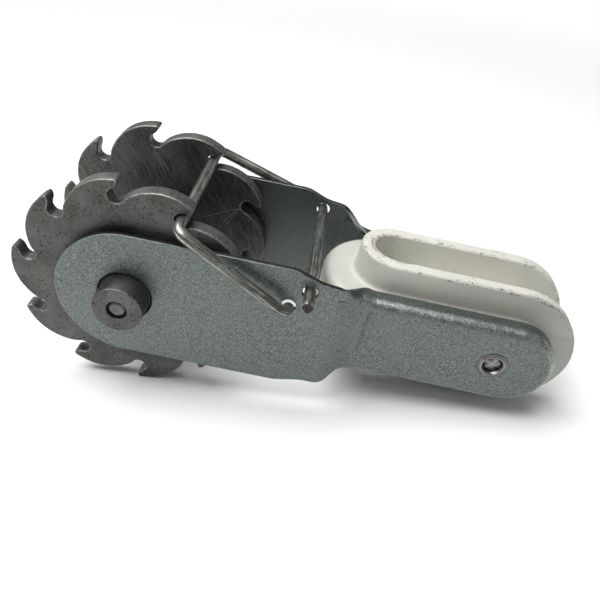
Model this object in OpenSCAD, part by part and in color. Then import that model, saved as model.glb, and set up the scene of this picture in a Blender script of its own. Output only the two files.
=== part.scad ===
// Insulated in-line ratchet strainer for fence wire.
// Origin: centre of the winding drum. +X runs along the tool to the insulator, +Z is up.
// The near side is -Y and the far side is +Y.

/* [Ratchet wheels] */
// Radius over the tooth tips
tip_r = 34; // [33:0.1:35]
// Number of ratchet teeth
tooth_count = 10; // [10:10]
// Thickness of the toothed disc
wheel_t = 4.5; // [3.5:0.1:5]
// Distance of the disc's outer face from the middle of the drum
wheel_y = 20.6; // [20:0.1:20.9]
// Radius of the circle that the gullet centres lie on
gullet_pitch_r = 29.3; // [29:0.1:29.6]
// Radius of the round gullet that the pawl wire rests in
gullet_r = 2.2; // [2.1:0.05:2.3]

/* [Drum and bosses] */
// Radius of the drum that the fence wire winds on
drum_r = 11; // [9:0.5:12]
// Radius of the boss outside the side plate
boss_r = 7.1; // [6.5:0.1:7.2]
// Distance of the boss end from the middle of the drum
boss_y = 30.7; // [28:0.1:33]
// Radius of the cross hole that takes the fence wire's end
wire_hole_r = 2.25; // [1.8:0.05:2.4]

/* [Side plates] */
// Sheet thickness
sheet_t = 1.6; // [1.5:0.1:2.2]
// Outer face of the wide body from the middle plane
body_y = 24; // [24:0.1:24.4]
// Outer face of the narrow arm from the middle plane
arm_y = 20.2; // [20.1:0.1:20.6]
// Half height of the wide body
body_h = 20; // [19:0.5:21]
// Half height of the arm, and radius of its round end
arm_h = 13; // [12.6:0.1:13.5]
// Centre of the arm's round end along X
end_x = 110; // [106:0.2:112]
// Depth of the arm's turned-in flange, outer face to free edge
flange_d = 6; // [4:0.5:6]

/* [Wire pawl] */
// Diameter of the spring wire
wire_d = 3.15; // [2.8:0.05:3.2]
// Pawl pivot along X
pivot_x = 50.2; // [49:0.1:51]
// Pawl pivot height
pivot_z = 14.35; // [13.5:0.05:15]
// How far the cropped pin end stands out of the near plate
pin_out = 7; // [4:0.5:9]

/* [Insulator] */
// Half height of the moulding's middle block
block_h = 10.5; // [9:0.1:10.6]
// Half height of the upright walls
wall_h = 19.7; // [18:0.1:20]
// Half width over the upright walls
wall_out = 10.9; // [10.5:0.1:11.5]
// Half width of the wire groove
groove_in = 6.9; // [6:0.1:7.2]
// Half height of the core that the wire loop pulls on
core_h = 9; // [8:0.1:9.5]
// Centre of the rounded left end of the walls along X
nose_x = 73.5; // [73:0.1:74]
// Rivet centre along X
rivet_x = 105.5; // [104:0.1:107]

/* [Hidden] */
$fn = 64;
eps = 0.01;

// teeth
pitch = 360 / tooth_count;
tip_angle = 26;            // one tip, measured from +X towards +Z
back_r = 14.6;             // radius of a tooth's round back
back_centre_r = tip_r - back_r;
back_lead = 3.8;           // the back's centre leads its tip by this angle
root_depth = 1.9;          // from the gullet centres in to the disc's root circle
root_r = gullet_pitch_r - root_depth;
throat_r = 2.8;            // widening of the gullet towards the next tooth
throat_x = tip_r - 2;
throat_z = -2.1;
hook_under = [0.9, 2];     // under side of the hook, from the gullet centre
throat_edge = [-0.6, 2.7]; // where the hook meets the throat, from the throat's centre

// bosses and rivet of the drum
face_gap = 0.35;           // clearance of moving parts from the plates' faces
journal_r = 7.35;          // boss inside the plate's hole
journal_end = body_y + face_gap;
boss_hole_r = 7.75;
collar_r = 11;             // raised ring that keeps the disc off the plate
collar_t = body_y - sheet_t - wheel_y - face_gap;
boss_chamfer = 0.6;
recess_r = 2.9;
recess_d = 1.4;
drum_rivet_r = 2.3;
drum_rivet_gap = 0.05;
dome_r = 3.9;              // rounding of the drum rivet's heads
dome_sink = 2.6;           // its centre below the recess's floor
dome_gap = 0.2;            // between the head and the recess's wall
wire_hole_y = -6.5;
wire_hole_z = 6.6;

// sheet outline
taper_x0 = 44;
taper_x1 = 54;
taper_h = 17.6;
joggle_x0 = 57;
joggle_x1 = 67;
corner_r = 3;              // outside bend radius of the arm's flange
open_hole = [45.3, 8.8];   // off-axis hole that the pawl's short end points into
open_hole_r = 2;
pivot_hole_r = 2.15;
rivet_shank_r = 2.9;
rivet_hole_r = 2.95;
dimple_r = 4.6;
dimple_d = 0.3;

// pawl
wire_r = wire_d / 2;
leg_y = body_y + face_gap + wire_r;
bar = [gullet_pitch_r * cos(tip_angle + pitch), gullet_pitch_r * sin(tip_angle + pitch)];
hook_bend_r = 3.2;
hook_reach = 3.9;          // from the short end to the leg's centre line
corner_bend_r = 3;
bend_steps = 6;            // rings in each bend
wire_sides = 16;
crop_angle = 24;           // slant of the two faces that crop the pin's end
crop_back = 0.4;           // how far the faces' crest is set back from the end
crop_box = 10;             // size of the cutters
hook_end_y = -body_y - face_gap;
hook_y = hook_end_y - hook_reach;

// insulator
skirt_r = 20;              // round left end of the block, between the plates
skirt_x = 73.2;
skirt_edge_r = 3.5;
block_y = arm_y - sheet_t;
wall_left = nose_x - wall_out;
core_left = 86;            // centre of the core's round left end
rivet_head_r = 5;
truss_r = 8.2;             // rounding of the far head
truss_sink = 6.6;          // its centre below the plate's face
lip_r = 3.9;
lip_h = 1.2;
lip_swell = 0.35;          // how far the rolled lip bulges beyond its own width
lip_base_h = 0.5;
lip_hole_r = 2.4;
lip_hole_d = 6;
drill_point_h = 1.4;

// extrudes a shape drawn in X and Z from y0 to y1
module along_y(y0, y1) {
    translate([0, y1, 0])
        rotate([90, 0, 0])
            linear_extrude(height = y1 - y0) children();
}

// round bar about the Y axis, from y0 to y1
module bar_y(r, y0, y1) {
    translate([0, y1, 0])
        rotate([90, 0, 0])
            cylinder(r = r, h = y1 - y0);
}

// ---------------------------------------------------------------- side plates

// outline of the sheet in X and Z, set in from its edge by inset
module plate_outline(inset = 0) {
    circle(r = body_h - inset, $fn = 120);
    polygon([[0, body_h - inset], [taper_x0, body_h - inset], [taper_x1, taper_h - inset],
             [joggle_x0, taper_h - inset], [joggle_x1, arm_h - inset], [end_x, arm_h - inset],
             [end_x, inset - arm_h], [joggle_x1, inset - arm_h], [joggle_x0, inset - taper_h],
             [taper_x1, inset - taper_h], [taper_x0, inset - body_h], [0, inset - body_h]]);
    translate([end_x, 0]) circle(r = arm_h - inset, $fn = 96);
}

// plan section of the sheet in X and Y, stepping in from the body to the joggle's end
module sheet_section() {
    polygon([[-body_h - 1, body_y], [joggle_x0, body_y], [joggle_x1, arm_y], [joggle_x1 + 1, arm_y],
             [joggle_x1 + 1, arm_y - sheet_t], [joggle_x1, arm_y - sheet_t],
             [joggle_x0, body_y - sheet_t], [-body_h - 1, body_y - sheet_t]]);
}

// plan shape of the flange that grows along the joggle
module flange_section() {
    polygon([[joggle_x0, body_y - sheet_t + eps], [joggle_x1, arm_y - sheet_t + eps],
             [joggle_x1 + 1, arm_y - sheet_t + eps], [joggle_x1 + 1, arm_y - flange_d],
             [joggle_x1, arm_y - flange_d]]);
}

// half section of the dished arm: width from the middle against Y
module arm_section() {
    translate([0, arm_y - sheet_t]) square([arm_h - corner_r, sheet_t]);
    translate([arm_h - sheet_t, arm_y - flange_d]) square([sheet_t, flange_d - corner_r]);
    translate([arm_h - corner_r, arm_y - corner_r]) intersection() {
        difference() {
            circle(r = corner_r);
            circle(r = corner_r - sheet_t);
        }
        square(corner_r);
    }
}

module arm() {
    // straight run, upper and lower half
    for (flip = [0, 1])
        mirror([0, 0, flip])
            translate([joggle_x1 + 1, 0, 0])
                rotate([90, 0, 90])
                    linear_extrude(height = end_x - joggle_x1 - 1)
                        mirror([1, 0]) rotate(90) arm_section();
    // round end
    translate([end_x, 0, 0])
        rotate([-90, 0, 0])
            rotate([0, 0, -90])
                rotate_extrude(angle = 180, $fn = 96) arm_section();
}

// far plate without its holes; the near one is its mirror image
module plate_blank() {
    intersection() {
        along_y(arm_y - sheet_t - 1, body_y + 1) plate_outline();
        translate([0, 0, -body_h - 1]) linear_extrude(height = 2 * body_h + 2) sheet_section();
    }
    intersection() {
        along_y(arm_y - flange_d - 1, body_y + 1) difference() {
            plate_outline();
            plate_outline(sheet_t);
        }
        translate([0, 0, -body_h - 1]) linear_extrude(height = 2 * body_h + 2) flange_section();
    }
    arm();
}

module plate_holes() {
    bar_y(boss_hole_r, arm_y, body_y + 1);
    translate([pivot_x, 0, pivot_z]) bar_y(pivot_hole_r, arm_y, body_y + 1);
    translate([rivet_x, 0, 0]) bar_y(rivet_hole_r, arm_y - sheet_t - 1, arm_y + 1);
}

module near_side_plate() {
    color([0.60, 0.65, 0.63]) mirror([0, 1, 0]) difference() {
        plate_blank();
        plate_holes();
        translate([open_hole[0], 0, open_hole[1]]) bar_y(open_hole_r, arm_y, body_y + 1);
        translate([rivet_x, 0, 0]) bar_y(dimple_r, arm_y - dimple_d, arm_y + 1);
    }
}

module far_side_plate() {
    color([0.55, 0.60, 0.58]) difference() {
        plate_blank();
        plate_holes();
    }
}

// ------------------------------------------------------------- ratchet wheels

// one tooth whose tip lies on +X: a round back that ends in a hooked tip
module tooth() {
    intersection() {
        rotate(back_lead) translate([back_centre_r, 0]) circle(r = back_r, $fn = 96);
        polygon([[0, 0], [2 * tip_r, 0], [2 * tip_r, 2 * tip_r], [0, 2 * tip_r]]);
    }
}

// round gullet under the tip, opening into a wider throat ahead of it
module gullet() {
    translate([gullet_pitch_r, 0]) circle(r = gullet_r, $fn = 48);
    translate([throat_x, throat_z]) circle(r = throat_r, $fn = 48);
    polygon([[gullet_pitch_r + hook_under[0], hook_under[1]],
             [throat_x + throat_edge[0], throat_z + throat_edge[1]],
             [throat_x, throat_z], [gullet_pitch_r, 0]]);
}

module wheel_outline() {
    difference() {
        union() {
            circle(r = root_r, $fn = 120);
            for (k = [0 : tooth_count - 1])
                rotate(tip_angle + k * pitch) tooth();
        }
        for (k = [0 : tooth_count - 1])
            rotate(tip_angle + k * pitch) gullet();
    }
}

// wheel on the near side, with its half of the drum and its boss
module wheel() {
    difference() {
        union() {
            along_y(-wheel_y, -wheel_y + wheel_t) wheel_outline();
            bar_y(collar_r, -wheel_y - collar_t, -wheel_y + eps);
            bar_y(journal_r, -journal_end, -wheel_y + eps);
            bar_y(boss_r, -boss_y + boss_chamfer, -journal_end + eps);
            translate([0, -boss_y + boss_chamfer, 0])
                rotate([90, 0, 0])
                    cylinder(r1 = boss_r, r2 = boss_r - boss_chamfer, h = boss_chamfer);
            bar_y(drum_r, -wheel_y + wheel_t - eps, 0);
        }
        bar_y(drum_rivet_r, -boss_y - 1, 1);
        bar_y(recess_r, -boss_y - 1, -boss_y + recess_d);
    }
}

module near_ratchet_wheel() {
    color([0.62, 0.60, 0.56]) difference() {
        wheel();
        translate([-2 * drum_r, wire_hole_y, wire_hole_z])
            rotate([0, 90, 0])
                cylinder(r = wire_hole_r, h = 4 * drum_r);
    }
}

module far_ratchet_wheel() {
    color([0.58, 0.56, 0.53]) mirror([0, 1, 0]) wheel();
}

// ---------------------------------------------------------------- drum rivet

module rivet_dome() {
    intersection() {
        translate([0, -boss_y + recess_d + dome_sink, 0]) sphere(r = dome_r);
        bar_y(recess_r - dome_gap, -boss_y, -boss_y + recess_d);
    }
}

module drum_rivet() {
    color([0.70, 0.70, 0.68]) {
        bar_y(drum_rivet_r - drum_rivet_gap, -boss_y + recess_d - eps, boss_y - recess_d + eps);
        rivet_dome();
        mirror([0, 1, 0]) rivet_dome();
    }
}

// ------------------------------------------------------------------ wire pawl

function unit(v) = v / norm(v);

// corners of the pawl's centre line, from the short end to the cropped pin end
pawl_route = [
    [open_hole[0], hook_end_y, open_hole[1]],
    [open_hole[0], hook_y, open_hole[1]],
    [bar[0], -leg_y, bar[1]],
    [bar[0], leg_y, bar[1]],
    [pivot_x, leg_y, pivot_z],
    [pivot_x, -body_y - pin_out, pivot_z]];
pawl_bends = [0, hook_bend_r, corner_bend_r, corner_bend_r, corner_bend_r, 0];

// rings of one bend: each is a point on the centre line and the direction there
function bend_rings(p, q, s, r) =
    let (u = unit(q - p), v = unit(s - q), turn = acos(u * v), n = unit(v - u * (u * v)),
         start = q - u * (r * tan(turn / 2)))
    [for (i = [0 : bend_steps])
        let (a = turn * i / bend_steps)
        [start + u * (r * sin(a)) + n * (r * (1 - cos(a))), u * cos(a) + n * sin(a)]];

// side direction of each ring, carried along so that the tube doesn't twist
function carried(rings, i = 0, side = undef) =
    i == len(rings) ? [] :
    let (t = rings[i][1],
         old = side == undef ? cross(t, [0.3, 0.5, 0.8]) : side,
         now = unit(old - t * (old * t)))
    concat([now], carried(rings, i + 1, now));

// round wire along a route with rounded corners
module wire_tube(route, bends, r) {
    last = len(route) - 1;
    rings = concat(
        [[route[0], unit(route[1] - route[0])]],
        [for (i = [1 : last - 1])
            for (ring = bend_rings(route[i - 1], route[i], route[i + 1], bends[i])) ring],
        [[route[last], unit(route[last] - route[last - 1])]]);
    sides = carried(rings);
    count = len(rings);
    points = [for (i = [0 : count - 1])
        let (a = sides[i], b = cross(rings[i][1], a))
        for (k = [0 : wire_sides - 1])
            rings[i][0] + a * (r * cos(360 * k / wire_sides)) + b * (r * sin(360 * k / wire_sides))];
    walls = [for (i = [0 : count - 2])
        for (k = [0 : wire_sides - 1])
            let (m = (k + 1) % wire_sides)
            [i * wire_sides + k, (i + 1) * wire_sides + k, (i + 1) * wire_sides + m, i * wire_sides + m]];
    first_cap = [for (k = [0 : wire_sides - 1]) k];
    last_cap = [for (k = [wire_sides - 1 : -1 : 0]) (count - 1) * wire_sides + k];
    polyhedron(points, concat(walls, [first_cap, last_cap]), convexity = 6);
}

module pawl_wire() {
    color([0.66, 0.67, 0.65]) difference() {
        wire_tube(pawl_route, pawl_bends, wire_r);
        // cropped faces of the pin end
        for (side = [-1, 1])
            translate([pivot_x, -body_y - pin_out, pivot_z])
                rotate([0, 0, side * crop_angle])
                    translate([-crop_box / 2, -crop_back - crop_box, -crop_box / 2]) cube(crop_box);
    }
}

// ------------------------------------------------------------------ insulator

// flat-topped stadium in X and Z from x0, with a round right end at end_x
module long_outline(x0, h) {
    translate([x0, -h]) square([end_x - x0, 2 * h]);
    translate([end_x, 0]) circle(r = h, $fn = 120);
}

// plan outline of the upright walls, round on the left
module wall_plan(half_w, x1) {
    translate([nose_x, 0]) circle(r = half_w, $fn = 96);
    translate([nose_x, -half_w]) square([x1 - nose_x, 2 * half_w]);
}

// disc with rounded edges that makes the block's left end
module skirt() {
    intersection() {
        translate([skirt_x, 0, 0]) rotate_extrude($fn = 128) {
            translate([0, -block_h]) square([skirt_r - skirt_edge_r, 2 * block_h]);
            translate([0, skirt_edge_r - block_h]) square([skirt_r, 2 * (block_h - skirt_edge_r)]);
            for (side = [-1, 1])
                translate([skirt_r - skirt_edge_r, side * (block_h - skirt_edge_r)])
                    circle(r = skirt_edge_r, $fn = 48);
        }
        translate([skirt_x - skirt_r - 1, -block_y, -block_h])
            cube([skirt_r + 1, 2 * block_y, 2 * block_h]);
    }
}

module insulator() {
    color([0.92, 0.92, 0.89]) difference() {
        union() {
            skirt();
            along_y(-block_y, block_y) long_outline(skirt_x - eps, block_h);
            intersection() {
                along_y(-wall_out, wall_out) long_outline(wall_left, wall_h);
                translate([0, 0, -wall_h]) linear_extrude(height = 2 * wall_h)
                    wall_plan(wall_out, end_x + wall_h + 1);
            }
        }
        // wire groove all round the core, open at the right
        difference() {
            translate([0, 0, -wall_h - 1]) linear_extrude(height = 2 * wall_h + 2)
                wall_plan(groove_in, end_x + wall_h + 2);
            along_y(-wall_out, wall_out) {
                long_outline(core_left, core_h);
                translate([core_left, 0]) circle(r = core_h, $fn = 96);
            }
        }
        translate([rivet_x, 0, 0]) bar_y(rivet_hole_r, -block_y - 1, block_y + 1);
    }
}

module insulator_rivet() {
    color([0.75, 0.76, 0.76]) translate([rivet_x, 0, 0]) difference() {
        union() {
            bar_y(rivet_shank_r, -arm_y, arm_y);
            // rolled lip on the near side
            translate([0, -arm_y + dimple_d, 0])
                rotate([90, 0, 0])
                    rotate_extrude($fn = 64) intersection() {
                        union() {
                            translate([(lip_r + lip_hole_r) / 2, 0])
                                circle(r = (lip_r - lip_hole_r) / 2 + lip_swell);
                            translate([lip_hole_r, 0]) square([lip_r - lip_hole_r, lip_base_h]);
                        }
                        translate([lip_hole_r - lip_swell, 0])
                            square([lip_r - lip_hole_r + 2 * lip_swell, lip_h]);
                    }
            // truss head on the far side
            translate([0, arm_y, 0]) intersection() {
                translate([0, -truss_sink, 0]) sphere(r = truss_r);
                bar_y(rivet_head_r, 0, truss_r - truss_sink + 1);
            }
        }
        bar_y(lip_hole_r, -arm_y - 2, -arm_y + lip_hole_d);
        // drilled point at the bottom of the hollow
        translate([0, -arm_y + lip_hole_d - eps, 0])
            rotate([-90, 0, 0])
                cylinder(r1 = lip_hole_r, r2 = 0, h = drill_point_h);
    }
}

near_side_plate();
far_side_plate();
near_ratchet_wheel();
far_ratchet_wheel();
drum_rivet();
pawl_wire();
insulator();
insulator_rivet();
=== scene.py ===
import math

import bmesh
import bpy
import numpy as np
from mathutils import Matrix, Vector
from mathutils.geometry import delaunay_2d_cdt


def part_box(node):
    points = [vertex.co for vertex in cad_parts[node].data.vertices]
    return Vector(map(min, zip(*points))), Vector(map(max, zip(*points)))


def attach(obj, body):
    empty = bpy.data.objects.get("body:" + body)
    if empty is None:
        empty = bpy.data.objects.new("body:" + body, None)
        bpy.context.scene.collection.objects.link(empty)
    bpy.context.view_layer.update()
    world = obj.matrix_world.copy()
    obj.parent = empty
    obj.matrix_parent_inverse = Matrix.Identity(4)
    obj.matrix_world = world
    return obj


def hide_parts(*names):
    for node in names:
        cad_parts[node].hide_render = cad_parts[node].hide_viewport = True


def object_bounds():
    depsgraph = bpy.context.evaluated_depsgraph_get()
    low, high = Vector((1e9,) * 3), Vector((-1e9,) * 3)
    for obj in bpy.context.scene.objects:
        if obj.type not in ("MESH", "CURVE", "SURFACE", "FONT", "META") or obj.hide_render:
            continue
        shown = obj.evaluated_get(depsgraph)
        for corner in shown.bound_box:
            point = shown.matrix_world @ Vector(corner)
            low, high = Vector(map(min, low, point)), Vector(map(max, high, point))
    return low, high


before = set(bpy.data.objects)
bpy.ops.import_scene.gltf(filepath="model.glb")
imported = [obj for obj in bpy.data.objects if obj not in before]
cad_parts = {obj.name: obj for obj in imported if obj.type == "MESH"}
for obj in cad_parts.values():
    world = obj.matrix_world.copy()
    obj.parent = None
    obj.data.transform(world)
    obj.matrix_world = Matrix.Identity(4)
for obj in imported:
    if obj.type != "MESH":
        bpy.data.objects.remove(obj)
cad_low, cad_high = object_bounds()

# Lengths below are in millimetres, as in the CAD source, until a mesh is made.
MM = 0.001


def box_mm(node):
    """Lowest and highest corner of a CAD node, in millimetres."""
    low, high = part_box(node)
    return np.array(low) / MM, np.array(high) / MM


# ---------------- dimensions
# The drum turns about Y through the origin, and the arms run along X to their round ends at END_X.
plate_low, plate_high = box_mm("far_side_plate")
moulding_low, moulding_high = box_mm("insulator")
rivet_low, rivet_high = box_mm("insulator_rivet")

SHEET_T = 1.6
BODY_H = plate_high[2]
BODY_Y = plate_high[1]
ARM_Y = moulding_high[1] + SHEET_T
FLANGE_D = ARM_Y - plate_low[1]
WALL_H = moulding_high[2]
END_X = moulding_high[0] - WALL_H
ARM_H = plate_high[0] - END_X
BOSS_Y = box_mm("far_ratchet_wheel")[1][1]
RIVET_X = (rivet_low[0] + rivet_high[0]) / 2

# side plate: where its body ends, where it steps in to the arm, and where the arm's flange is bent
BODY_END_X = 45.6
JOGGLE_X0, JOGGLE_X1, JOGGLE_INSET = 56.0, 67.5, 0.5
FLANGE_X0, FLANGE_X1 = 57.5, 66.5
BEND_R = 2.8
EDGE_R = 0.28
# half height of the outline at stations along X, and the distance over which its corners are rounded
TAPER = ((-99, BODY_H), (BODY_END_X, BODY_H), (53.2, 17.6), (58.8, 17.3), (61.3, 16.3), (64.0, 14.4),
         (JOGGLE_X1, ARM_H), (999, ARM_H))
TAPER_ROUNDING = 0.6
# how much sooner the far plate narrows, and the share of it that applies at stations along X
FAR_EARLY = 2.0
EARLY_SHARE = ((40.0, 0.0), (44.0, 0.6), (52.0, 1.0), (60.0, 1.0), (69.0, 0.0))
# the body's edges lie high by CAMBER, from CAMBER_FROM off the middle line on
CAMBER, CAMBER_FROM, CAMBER_OVER = 0.6, 11.0, 8.0
CAMBER_SHARE = ((0.0, 0.0), (BODY_END_X, 1.0), (JOGGLE_X0 + 2, 0.0))
# painted highlight on the flange's bend: how bright on the near and the far plate, and where, in shares of
# the bend's arc
BEND_HIGHLIGHT_NEAR, BEND_HIGHLIGHT_FAR = 0.95, 0.15
BEND_HIGHLIGHT_CENTRE, BEND_HIGHLIGHT_WIDTH = 0.55, 0.62
BOSS_HOLE_R = 7.75
PIVOT_HOLE_R = 2.15
OPEN_HOLE = (45.3, 8.8)
OPEN_HOLE_R = 2.0
RIVET_HOLE_R = 2.95
DIMPLE_R, DIMPLE_D, DIMPLE_EDGE = 4.6, 0.3, 0.35
OUTLINE_STEP, COARSE_STEP, FINE_STEP = 0.8, 1.6, 0.75

# wheels: the toothed disc's outer face is at WHEEL_Y, and each tooth's hook leans out by HOOK_OUT
WHEEL_Y, WHEEL_T = 20.6, 4.5
TOOTH_EDGE_R, TOOTH_STEP, DISC_STEP = 0.45, 0.4, 1.5
TOOTH_COUNT, TIP_R, TIP_ANGLE = 10, 34.0, math.radians(26)
HOOK_LENGTH, HOOK_OUT = 3.6, 2.5
TIP_ROUND_R = 0.75

# drum, with a clearance of SIDE_PLAY on both sides of the plate
DRUM_R, ROOT_R = 11.0, 0.8
SIDE_PLAY = 0.35
COLLAR_Y = BODY_Y - SHEET_T - SIDE_PLAY
JOURNAL_R, BOSS_R = 7.35, 7.1
BOSS_RIM_R, RECESS_RIM_R = 0.45, 0.3
RECESS_R, RECESS_D = 2.9, 1.4
DRUM_RIVET_R = 2.3
WIRE_HOLE_R, WIRE_HOLE_Y, WIRE_HOLE_Z = 2.25, -6.5, 6.6

# pawl: its legs run just outside the plates, its bar lies BAR_R from the drum's axis at BAR_ANGLE
PIVOT_X, PIVOT_Z = 50.2, 14.35
WIRE_R = 1.575
LEG_Y = BODY_Y + SIDE_PLAY + WIRE_R
BAR_R, BAR_ANGLE = 29.3, math.radians(62)
BAR_X, BAR_Z = BAR_R * math.cos(BAR_ANGLE), BAR_R * math.sin(BAR_ANGLE)
HOOK_END_Y = -BODY_Y - SIDE_PLAY
HOOK_TURN_Y = HOOK_END_Y - 3.9
PIN_END_Y = -BODY_Y - 7.0
# the pin's end is cropped by two planes at CROP_TURN, within CROP_LENGTH, and its edges are rounded
CROP_TURN, CROP_LENGTH, CROP_EDGE = math.radians(28), 4.0, 0.22
STREAK_PER_MM, STREAK_TURNS = 0.12, 4.5

# insulator rivet: the end of its core is a low pyramid in the rolled lip
PLUG_R, PLUG_DEPTH, PLUG_SIDES, PLUG_SLOPE = 2.36, 1.6, 16, 0.28

# insulator: a block with a round skirt, and two walls round a groove that runs round a core
BLOCK_H = 10.5
BLOCK_Y = moulding_high[1]
SKIRT_R = 20.0
SKIRT_X = moulding_low[0] + SKIRT_R
SKIRT_EDGE_R = 2.6
BLOCK_EDGE_R = 0.3
NOSE_X = 73.5
WALL_OUT, GROOVE_IN = 10.9, 6.9
CORE_LEFT, CORE_H = 86.0, 9.0
RIM_EDGE_R = 0.75
WALL_ROOT_R, CORE_ROOT_R = 1.3, 1.8
# how grey the insulator turns, for dirt and as painted shade: on the rims, on the skirt's top, and on the
# walls' outside at stations along X, darkest at the right-hand end, away from the key light
RIM_FILM_AND_SHADE, SKIRT_FILM_AND_SHADE = 0.27, 0.60
WALL_FILM_AND_SHADE = ((64, 0.48), (72, 0.30), (84, 0.36), (92, 0.50), (110, 0.76))

# floor, lights as (name, place, size, power), camera; all but the lens in metres and degrees
FLOOR_HALF = 4.0
FLOOR_GAP = 0.05 * MM
LIGHTS = (("key", (-0.30, 0.0, 0.65), 0.75, 8.8), ("side", (-0.70, -0.15, 0.45), 0.4, 0.8))
LENS_MM = 37.49
CAMERA_AIM = Vector((42.7, 0.0, -4.5)) * MM
CAMERA_DISTANCE = 196.1 * MM
CAMERA_AZIMUTH, CAMERA_ELEVATION, CAMERA_ROLL = -0.16, 36.46, 11.97
CAMERA_SHIFT_X, CAMERA_SHIFT_Y = 0.030, -0.015
BACKDROP = (1.0, 1.0, 1.0, 1.0)


# ---------------- mesh tools
def circle(cx, cz, r, count):
    """Counter-clockwise circle of points."""
    a = np.arange(count) * 2 * math.pi / count
    return np.stack([cx + r * np.cos(a), cz + r * np.sin(a)], 1)


def hole(cx, cz, r, count=48):
    """Circle of points that runs clockwise, so that its normals point into the hole."""
    return circle(cx, cz, r, count)[::-1]


def along(x, stations):
    """Value at x on the straight lines through (x, value) stations."""
    return np.interp(x, *zip(*stations))


def resample(loop, step):
    """The same closed loop with points at even distances of about step."""
    closed = np.vstack([loop, loop[:1]])
    length = np.concatenate([[0], np.cumsum(np.linalg.norm(np.diff(closed, axis=0), axis=1))])
    count = int(round(length[-1] / step))
    at = np.arange(count) * length[-1] / count
    return np.stack([np.interp(at, length, closed[:, k]) for k in (0, 1)], 1)


def softened(loop, passes):
    """The loop with its corners rounded by averaging neighbours."""
    for _ in range(passes):
        loop = 0.5 * loop + 0.25 * (np.roll(loop, 1, 0) + np.roll(loop, -1, 0))
    return loop


def inset(loop, d):
    """The loop moved by d into the material on its left."""
    step = np.roll(loop, -1, 0) - np.roll(loop, 1, 0)
    step /= np.linalg.norm(step, axis=1)[:, None]
    return loop - d * np.stack([step[:, 1], -step[:, 0]], 1)


def in_chunks(points, measure):
    """measure of all the points, worked out for some at a time to save memory."""
    return np.concatenate([measure(points[k:k + 2000]) for k in range(0, len(points), 2000)])


def inside(points, loops):
    """Which points lie inside an odd number of the loops."""
    a = np.concatenate(loops)
    b = np.concatenate([np.roll(loop, -1, 0) for loop in loops])
    rise = np.where(a[:, 1] == b[:, 1], 1e-12, b[:, 1] - a[:, 1])
    slope = (b - a)[:, 0] / rise

    def odd(p):
        x, z = p[:, :1], p[:, 1:]
        crossed = (a[:, 1] > z) != (b[:, 1] > z)
        return (crossed & (x < a[:, 0] + (z - a[:, 1]) * slope)).sum(1) % 2 == 1

    return in_chunks(points, odd)


def distance_to(points, border):
    """Distance of each point to the nearest border point."""
    return in_chunks(points, lambda p: np.sqrt(((p[:, None] - border) ** 2).sum(2)).min(1))


def fill(loops, extra, grid, clear):
    """Triangles between the loops: points, triangles and which points are on a loop.
    extra points are always used, grid points only where they are clear of the rest."""
    border = np.concatenate(loops)
    fixed = np.concatenate([border, *extra]) if extra else border
    grid = grid[inside(grid, loops)]
    grid = grid[distance_to(grid, fixed) > clear]
    edges, start = [], 0
    for loop in loops:
        count = len(loop)
        edges += [(start + i, start + (i + 1) % count) for i in range(count)]
        start += count
    sites = np.concatenate([fixed, grid])
    found = delaunay_2d_cdt([Vector(p) for p in sites], edges, [], 1, 1e-6)
    points = np.array([p[:] for p in found[0]])
    triangles = np.array([t[:] for t in found[2]])
    on_loop = np.array([any(i < len(border) for i in origin) for origin in found[3]])
    return points, triangles[inside(points[triangles].mean(1), loops)], on_loop


def hex_grid(low, high, step):
    """Points in even rows, each row shifted by half a step."""
    rows = np.arange(low[1], high[1] + step, step * 0.866)
    columns = np.arange(low[0], high[0] + step, step)
    return np.array([(x + (j % 2) * step / 2, z) for j, z in enumerate(rows) for x in columns])


class Shell:
    """Collects points and faces, with values at each point that steer the material: edge is rubbed bright,
    and a painted highlight on a flange's bend and the pin's upper edge; inner is a cut or fettled face; the
    third value darkens, for dirt and as painted shade in recesses, seams and on the insulator."""

    def __init__(self):
        self.points, self.faces = [], []
        self.values = {"edge": [], "inner": [], "grime_and_shade": []}

    def add(self, points, faces, edge=0.0, inner=0.0, grime_and_shade=0.0):
        start = len(self.points)
        self.points += [tuple(p) for p in points]
        for name, value in (("edge", edge), ("inner", inner), ("grime_and_shade", grime_and_shade)):
            self.values[name] += list(np.broadcast_to(value, len(points)).astype(float))
        self.faces += [tuple(start + int(i) for i in face) for face in faces]

    def strips(self, rings, edge=0.0, inner=0.0, grime_and_shade=0.0):
        """Quads between closed rings of the same number of points. Each value may be one per ring."""
        count = len(rings[0])
        faces = [(j * count + i, j * count + (i + 1) % count, (j + 1) * count + (i + 1) % count,
                  (j + 1) * count + i) for j in range(len(rings) - 1) for i in range(count)]
        spread = [np.repeat(np.broadcast_to(value, len(rings)), count) for value in (edge, inner, grime_and_shade)]
        self.add(np.concatenate(rings), faces, *spread)

    def mesh(self, name):
        """The welded mesh, in metres, with the values as attributes."""
        mesh = bpy.data.meshes.new(name)
        mesh.from_pydata([tuple(MM * c for c in p) for p in self.points], [], self.faces)
        for label, values in self.values.items():
            mesh.attributes.new(label, "FLOAT", "POINT").data.foreach_set("value", values)
        work = bmesh.new()
        work.from_mesh(mesh)
        bmesh.ops.remove_doubles(work, verts=work.verts, dist=2e-6)
        bmesh.ops.dissolve_degenerate(work, edges=work.edges, dist=1e-7)
        bmesh.ops.recalc_face_normals(work, faces=work.faces)
        work.to_mesh(mesh)
        work.free()
        return mesh

    def piece(self, name, material, body):
        return placed(name, self.mesh(name), material, body)


def linked(name, data):
    """An object for the data, in the scene."""
    obj = bpy.data.objects.new(name, data)
    bpy.context.scene.collection.objects.link(obj)
    return obj


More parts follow.
